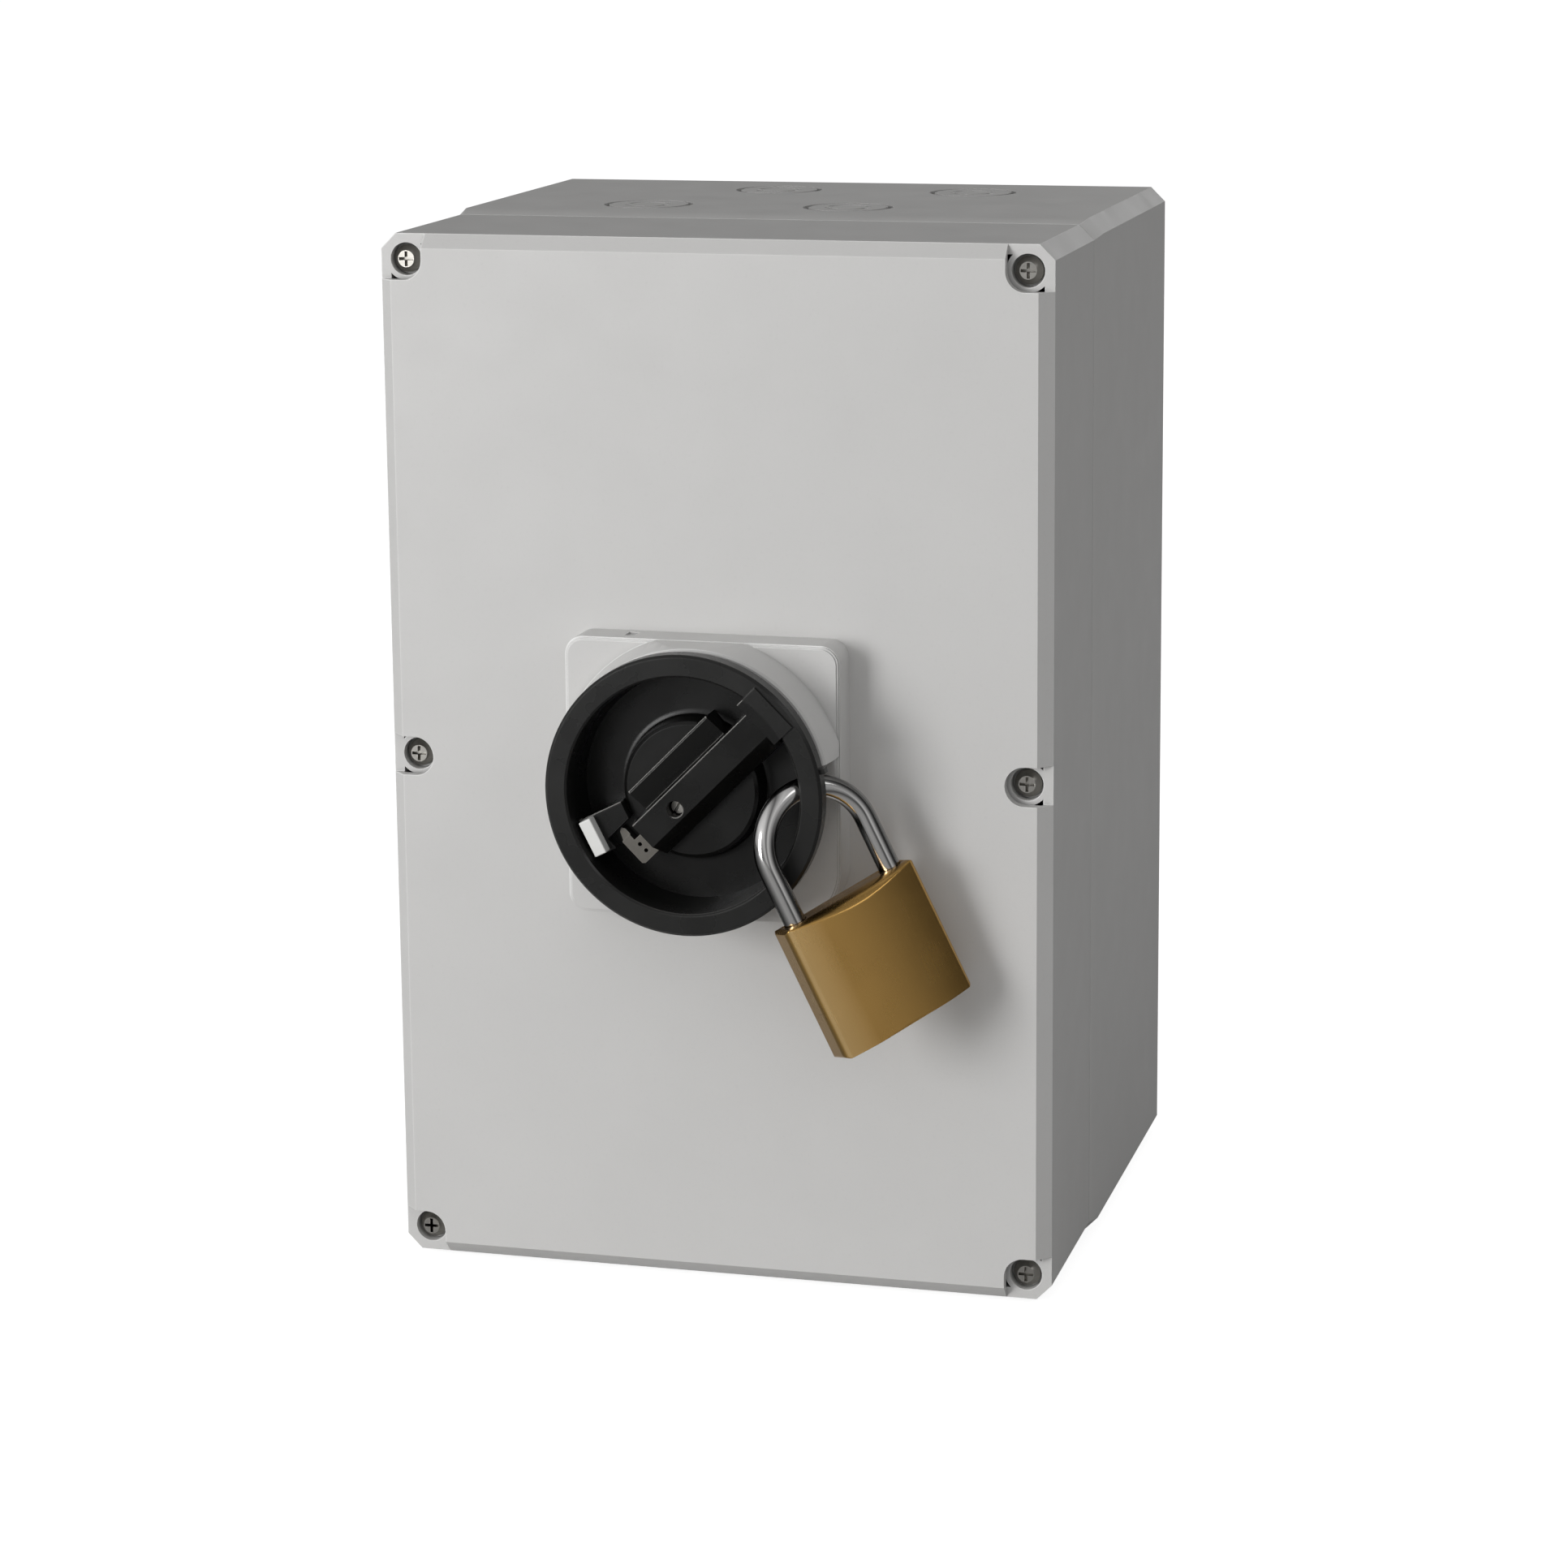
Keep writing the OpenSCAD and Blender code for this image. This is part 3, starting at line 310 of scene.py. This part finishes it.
CASE_GREY = (0.60, 0.595, 0.585)
LOOKS = {
    # case_plastic: a painted highlight along the plate's front edges that lean towards the upper left
    "case_plastic": plastic("case_plastic", CASE_GREY, rough=0.5, wear=1.12, mottle=0.015,
                            shine_line=((-0.8, 0.0, 0.6), (0.88, 0.88, 0.87), -110 * MM)),
    # black_plastic: a painted highlight on the grip's upper-left edges and painted shade darkening the dish
    # round the axle
    "black_plastic": plastic("black_plastic", (0.013, 0.013, 0.0125), rough=0.28, wear=1.6, shine=0.25,
                             crevice_shade=0.0, grain=0.5 * MM, relief=0.03 * MM, mottle=0.15,
                             dish_shade=(34.3 * MM, (0.0045, 0.0045, 0.0042)),
                             shine_line=((-0.707, 0.0, 0.707), (0.42, 0.41, 0.39), -201 * MM)),
    "white_plastic": plastic("white_plastic", (0.78, 0.78, 0.76), rough=0.35, wear=1.1),
    "zinc": metal("zinc", (0.14, 0.133, 0.12), rough=0.42, streak=0.8 * MM, stain=0.5, depth=0.05 * MM,
                  wear=1.9),
    "screw_steel": metal("screw_steel", (0.34, 0.33, 0.31), rough=0.33, streak=0.4 * MM, stain=0.3,
                         stain_color=(0.26, 0.25, 0.21), wear=1.6),
    "plate_steel": metal("plate_steel", (0.55, 0.56, 0.57), rough=0.36, streak=2.5 * MM, stain=0.5),
    "gasket_rubber": rubber("gasket_rubber", (0.02, 0.02, 0.021)),
    # shackle_steel: the bands are a painted reflection
    "shackle_steel": metal("shackle_steel", (0.80, 0.79, 0.78), rough=0.14, streak=0.6 * MM, stain=0.1,
                           depth=0.001 * MM, painted_reflection_bands=(PAD_ACROSS, (
                               (0.06, 0.35), (0.17, 0.95), (0.28, 0.85), (0.37, 0.18), (0.44, 0.95),
                               (0.54, 0.75), (0.64, 0.22), (0.76, 0.16), (0.86, 0.55), (0.95, 0.3)))),
    # padlock_brass: a painted bright gold highlight on the fillet facing the key light and painted shade on
    # the side facing away
    "padlock_brass": metal("padlock_brass", (0.53, 0.315, 0.095), rough=0.25, turn=PAD_TURN,
                           brush=(1, 1, 0.04), streak=0.45 * MM, depth=0.008 * MM,
                           stain=0.15, stain_color=(0.42, 0.24, 0.07),
                           polished=(((0.211, -0.977, 0.018), 0.93, 0.995, (0.98, 0.67, 0.30)),
                                     (tuple(-v for v in PAD_ACROSS), 0.78, 0.92, (0.30, 0.19, 0.07)))),
    "plug_brass": metal("plug_brass", (0.66, 0.47, 0.20), rough=0.28, streak=0.3 * MM),
    "switch_plastic": plastic("switch_plastic", (0.055, 0.055, 0.06), rough=0.48, wear=1.8, mottle=0.08),
    "copper": metal("copper", (0.72, 0.36, 0.20), rough=0.3, streak=0.5 * MM, stain=0.4,
                    stain_color=(0.38, 0.17, 0.09)),
    "rotor_plastic": plastic("rotor_plastic", (0.62, 0.56, 0.42), rough=0.38, wear=1.15),
    "fuse_plastic": plastic("fuse_plastic", (0.035, 0.035, 0.04), rough=0.4, wear=2.0, mottle=0.08),
    "fuse_ceramic": ceramic("fuse_ceramic", (0.74, 0.71, 0.63), (0.6, 0.6, 0.6), 9.4 * MM),
    "terminal_brass": metal("terminal_brass", (0.62, 0.46, 0.2), rough=0.3, streak=0.6 * MM, stain=0.35),
    "wire_insulation": plastic("wire_insulation", (0.02, 0.02, 0.022), rough=0.35, grain=1.2 * MM, wear=1.3),
}


# ---------- carried-over nodes ----------

def refine(obj, width):
    """Rounds a machined shape's sharp edges by width, after joining its flat triangles into faces."""
    obj.data.polygons.foreach_set("use_smooth", [True] * len(obj.data.polygons))
    if "custom_normal" in obj.data.attributes:
        obj.data.attributes.remove(obj.data.attributes["custom_normal"])
    weld = obj.modifiers.new("weld", "WELD")
    weld.merge_threshold = 0.001 * MM
    flat = obj.modifiers.new("flat", "DECIMATE")
    flat.decimate_type = "DISSOLVE"
    flat.angle_limit = math.radians(0.7)
    bevel = obj.modifiers.new("round", "BEVEL")
    bevel.width = width
    bevel.segments = 2
    bevel.limit_method = "ANGLE"
    bevel.angle_limit = math.radians(28.0)
    bevel.use_clamp_overlap = True
    bevel.miter_outer = "MITER_ARC"
    even = obj.modifiers.new("even", "WEIGHTED_NORMAL")
    even.weight = 80


EDGE_WIDTH = {
    "enclosure_base": 0.35, "lid": 0.35, "escutcheon": 0.3, "handle_knob": 0.35, "position_marker": 0.4,
    "lock_slide": 0.25, "lid_screws": 0.15, "defeat_screw": 0.12,
}
PLAIN_EDGE_WIDTH = 0.2
for entry in frame["record"]["subparts"]:
    name = entry["node"]
    node = NODES[name]
    node.data.materials.clear()
    node.data.materials.append(LOOKS[entry["material_slot"]])
    refine(node, EDGE_WIDTH.get(name, PLAIN_EDGE_WIDTH) * MM)


# ---------- rebuilt pieces ----------

def piece(name, shape, place, node, body):
    """Makes a smooth object from a bmesh drawn in place's own frame, standing for a CAD node."""
    slot = next(part["material_slot"] for part in frame["record"]["subparts"] if part["node"] == node)
    bmesh.ops.recalc_face_normals(shape, faces=shape.faces)
    mesh = bpy.data.meshes.new(name)
    shape.to_mesh(mesh)
    shape.free()
    mesh.transform(place)
    mesh.polygons.foreach_set("use_smooth", [True] * len(mesh.polygons))
    mesh.materials.append(LOOKS[slot])
    obj = bpy.data.objects.new(name, mesh)
    bpy.context.scene.collection.objects.link(obj)
    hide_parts(node)
    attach(obj, body)
    return obj


def swept(shape, path, sides):
    """A round bar through (point, direction, radius) stations in the plane y = 0."""
    rings = []
    for point, along, radius in path:
        across = Vector((0, 1, 0)).cross(along)
        ring = []
        for i in range(sides):
            turn = 2 * math.pi * i / sides
            outward = math.cos(turn) * across + Vector((0, math.sin(turn), 0))
            ring.append(shape.verts.new(point + radius * outward))
        rings.append(ring)
    for low, high in zip(rings, rings[1:]):
        for i in range(sides):
            j = (i + 1) % sides
            shape.faces.new((low[i], low[j], high[j], high[i]))
    shape.faces.new(rings[0])
    shape.faces.new(rings[-1])


def shackle():
    """Polished bar bent to a U, with the ends of its legs rounded over."""
    bar, bend = SHACKLE_BAR, SHACKLE_BEND
    nose_steps, bend_steps = 6, 120

    def leg_end(x, end, along, k):
        turn = math.pi / 2 * k / nose_steps
        height = end + bar * 0.4 * (1 - math.cos(turn))
        return Vector((x, 0, height)), along, bar * (0.55 + 0.45 * math.sin(turn))

    path = [leg_end(-bend, SHORT_LEG_END, Vector((0, 0, 1)), k) for k in range(nose_steps + 1)]
    for k in range(bend_steps + 1):
        turn = math.pi * (1 - k / bend_steps)
        arm = Vector((math.cos(turn), 0, math.sin(turn)))
        along = Vector((math.sin(turn), 0, -math.cos(turn)))
        path.append((Vector((0, 0, -bend)) + bend * arm, along, bar))
    path += [leg_end(bend, LONG_LEG_END, Vector((0, 0, -1)), k) for k in range(nose_steps, -1, -1)]
    shape = bmesh.new()
    swept(shape, path, 48)
    piece("shackle_bar", shape, PAD_PLACE, "padlock_shackle", "shackle")


def lens_outline(width, thickness, edge, corner):
    """Points round the padlock's section: two bulges that run into rounded corners."""
    sag = (thickness - edge) / 2
    bulge = (width * width / 4 + sag * sag) / (2 * sag)
    x_corner = width / 2 - corner
    y_corner = math.sqrt((bulge - corner) ** 2 - x_corner ** 2) - (bulge - thickness / 2)
    lean = math.asin(x_corner / (bulge - corner))
    bulge_steps, corner_steps = 44, 16
    quarter = []
    for k in range(bulge_steps + 1):
        turn = lean * k / bulge_steps
        quarter.append((bulge * math.sin(turn), bulge * math.cos(turn) - (bulge - thickness / 2)))
    for k in range(1, corner_steps + 1):
        turn = lean + (math.pi / 2 - lean) * k / corner_steps
        quarter.append((x_corner + corner * math.sin(turn), y_corner + corner * math.cos(turn)))
    half = quarter + [(x, -y) for x, y in reversed(quarter)]
    return half + [(-x, y) for x, y in reversed(half[1:-1])]


def reach(depth, half, corner):
    """Half width that a profile with rounded corners leaves at that depth below its end."""
    if depth >= corner:
        return half
    return half - corner + math.sqrt(corner ** 2 - (corner - depth) ** 2)


def drill(x, end, radius, depth):
    """A round cutter that reaches depth into the body from the end at that height; it isn't shown."""
    shape = bmesh.new()
    bmesh.ops.create_cone(shape, cap_ends=True, segments=64, radius1=radius, radius2=radius, depth=2 * depth)
    bmesh.ops.translate(shape, verts=shape.verts, vec=(x, 0, end))
    mesh = bpy.data.meshes.new("drill")
    shape.to_mesh(mesh)
    shape.free()
    mesh.transform(PAD_PLACE)
    cutter = bpy.data.objects.new("drill", mesh)
    bpy.context.scene.collection.objects.link(cutter)
    cutter.hide_render = True
    cutter.hide_viewport = True
    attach(cutter, "padlock")
    return cutter


def padlock_case():
    """The lens section run up the body and crowned at the top, with leg holes and a cylinder hole.

    The depths of its rings below the top, in mm, lie closest where the top and bottom are rounded.
    """
    top, height = CASE_TOP, CASE_HEIGHT
    outline = lens_outline(CASE_WIDTH, CASE_THICK, CASE_EDGE_THICK, CASE_CORNER)
    depths = [0, 0.02, 0.06, 0.14, 0.25, 0.4, 0.6, 0.85, 1.15, 1.5, 1.9, 2.3, 2.7, 3.2, 6, 12, 20, 28,
              35, 38.2, 39.2, 39.7, 40.1, 40.4, 40.65, 40.82, 40.93, 40.98, 41]
    shape = bmesh.new()
    rings = []
    for depth in (d * MM for d in depths):
        deep = min(reach(depth, 9 * MM, 6 * MM), reach(height - depth, 8.5 * MM, 1.6 * MM))
        wide = min(reach(end + 0.2 * MM, 23 * MM, 3 * MM) for end in (depth, height - depth))
        rings.append([shape.verts.new((max(-wide, min(wide, x)), max(-deep, min(deep, y)), top - depth))
                      for x, y in outline])
    count = len(outline)
    for low, high in zip(rings, rings[1:]):
        for i in range(count):
            j = (i + 1) % count
            shape.faces.new((low[i], low[j], high[j], high[i]))
    shape.faces.new(rings[0])
    shape.faces.new(rings[-1])
    case = piece("padlock_case", shape, PAD_PLACE, "padlock_body", "padlock")
    leg_hole, plug_hole = 3.55 * MM, 5.8 * MM
    bores = ((-SHACKLE_BEND, top, leg_hole, 12 * MM), (SHACKLE_BEND, top, leg_hole, 26 * MM),
             (0, top - height, plug_hole, 27 * MM))
    for x, end, radius, depth in bores:
        cut = case.modifiers.new("bore", "BOOLEAN")
        cut.operation = "DIFFERENCE"
        cut.solver = "EXACT"
        cut.object = drill(x, end, radius, depth)
    even = case.modifiers.new("even", "WEIGHTED_NORMAL")
    even.weight = 50


shackle()
padlock_case()


# ---------- floor, light, camera ----------

def pale_floor():
    mesh = bpy.data.meshes.new("floor")
    shape = bmesh.new()
    bmesh.ops.create_grid(shape, x_segments=8, y_segments=8, size=30.0)
    shape.to_mesh(mesh)
    shape.free()
    floor = bpy.data.objects.new("floor", mesh)
    floor.location = (0, 0, CAD_BOX[0].z - 0.5 * MM)
    bpy.context.scene.collection.objects.link(floor)
    material = bpy.data.materials.new("floor")
    material.use_nodes = True
    nodes, links = material.node_tree.nodes, material.node_tree.links
    shader = nodes["Principled BSDF"]
    shader.inputs["Base Color"].default_value = (0.55, 0.55, 0.55, 1)
    shader.inputs["Roughness"].default_value = 0.9
    shader.inputs["Specular IOR Level"].default_value = 0.1
    glow = nodes.new("ShaderNodeLightPath")
    gain = nodes.new("ShaderNodeMath")
    gain.operation = "MULTIPLY"
    gain.inputs[1].default_value = 0.85
    links.new(glow.outputs["Is Camera Ray"], gain.inputs[0])
    shader.inputs["Emission Color"].default_value = (1, 1, 1, 1)
    links.new(gain.outputs[0], shader.inputs["Emission Strength"])
    mesh.materials.append(material)


def softbox(name, place, aim, width, height, watts):
    light = bpy.data.lights.new(name, "AREA")
    light.shape = "RECTANGLE"
    light.size = width
    light.size_y = height
    light.energy = watts
    lamp = bpy.data.objects.new(name, light)
    lamp.location = place
    lamp.rotation_euler = (Vector(aim) - Vector(place)).to_track_quat("-Z", "Y").to_euler()
    bpy.context.scene.collection.objects.link(lamp)


def studio_world():
    """A soft room: pale in front, dim behind, with a dark doorway just left of the camera."""
    world = bpy.data.worlds.new("studio")
    world.use_nodes = True
    nodes, links = world.node_tree.nodes, world.node_tree.links
    place = nodes.new("ShaderNodeTexCoord")
    lobes = []
    for toward, low, high, dark, pale in (((-0.35, -0.94, 0.0), -0.4, 0.75, 0.10, 0.75),
                                          ((-0.255, -0.948, -0.192), 0.99, 0.80, 0.12, 1.0)):
        dot = nodes.new("ShaderNodeVectorMath")
        dot.operation = "DOT_PRODUCT"
        dot.inputs[1].default_value = toward
        links.new(place.outputs["Generated"], dot.inputs[0])
        fade = nodes.new("ShaderNodeMapRange")
        fade.inputs["From Min"].default_value = low
        fade.inputs["From Max"].default_value = high
        fade.inputs["To Min"].default_value = dark
        fade.inputs["To Max"].default_value = pale
        links.new(dot.outputs["Value"], fade.inputs["Value"])
        lobes.append(fade.outputs["Result"])
    both = nodes.new("ShaderNodeMath")
    both.operation = "MULTIPLY"
    links.new(lobes[0], both.inputs[0])
    links.new(lobes[1], both.inputs[1])
    links.new(both.outputs[0], nodes["Background"].inputs["Strength"])
    nodes["Background"].inputs["Color"].default_value = (1, 1, 1, 1)
    bpy.context.scene.world = world


def photo_camera():
    """Stands 15 degrees to the right and 11 above, with the lens axis raised above the frame's middle."""
    place = Vector((0.3258, -1.3074, 0.2717))
    ahead = Vector((-0.2548, 0.9477, -0.1924)).normalized()
    roll = math.radians(-0.52)
    camera = bpy.data.cameras.new("camera")
    camera.lens = 95.14
    camera.sensor_width = 36.0
    camera.shift_y = -0.0963
    obj = bpy.data.objects.new("camera", camera)
    turn = ahead.to_track_quat("-Z", "Y").to_matrix() @ Matrix.Rotation(roll, 3, "Z")
    obj.matrix_world = Matrix.Translation(place) @ turn.to_4x4()
    bpy.context.scene.collection.objects.link(obj)
    bpy.context.scene.camera = obj


pale_floor()
studio_world()
softbox("key", (-1.05, -1.75, 0.16), (0, -0.17, 0.02), 0.75, 1.1, 24)
softbox("side", (1.7, -1.0, 1.35), (0.1, -0.1, 0.05), 0.9, 0.7, 3)
softbox("rear", (0.6, 1.8, 0.9), (0, 0, 0), 1.2, 1.0, 5)
photo_camera()
scene = bpy.context.scene
scene.view_settings.view_transform = "Standard"
scene.view_settings.look = "None"
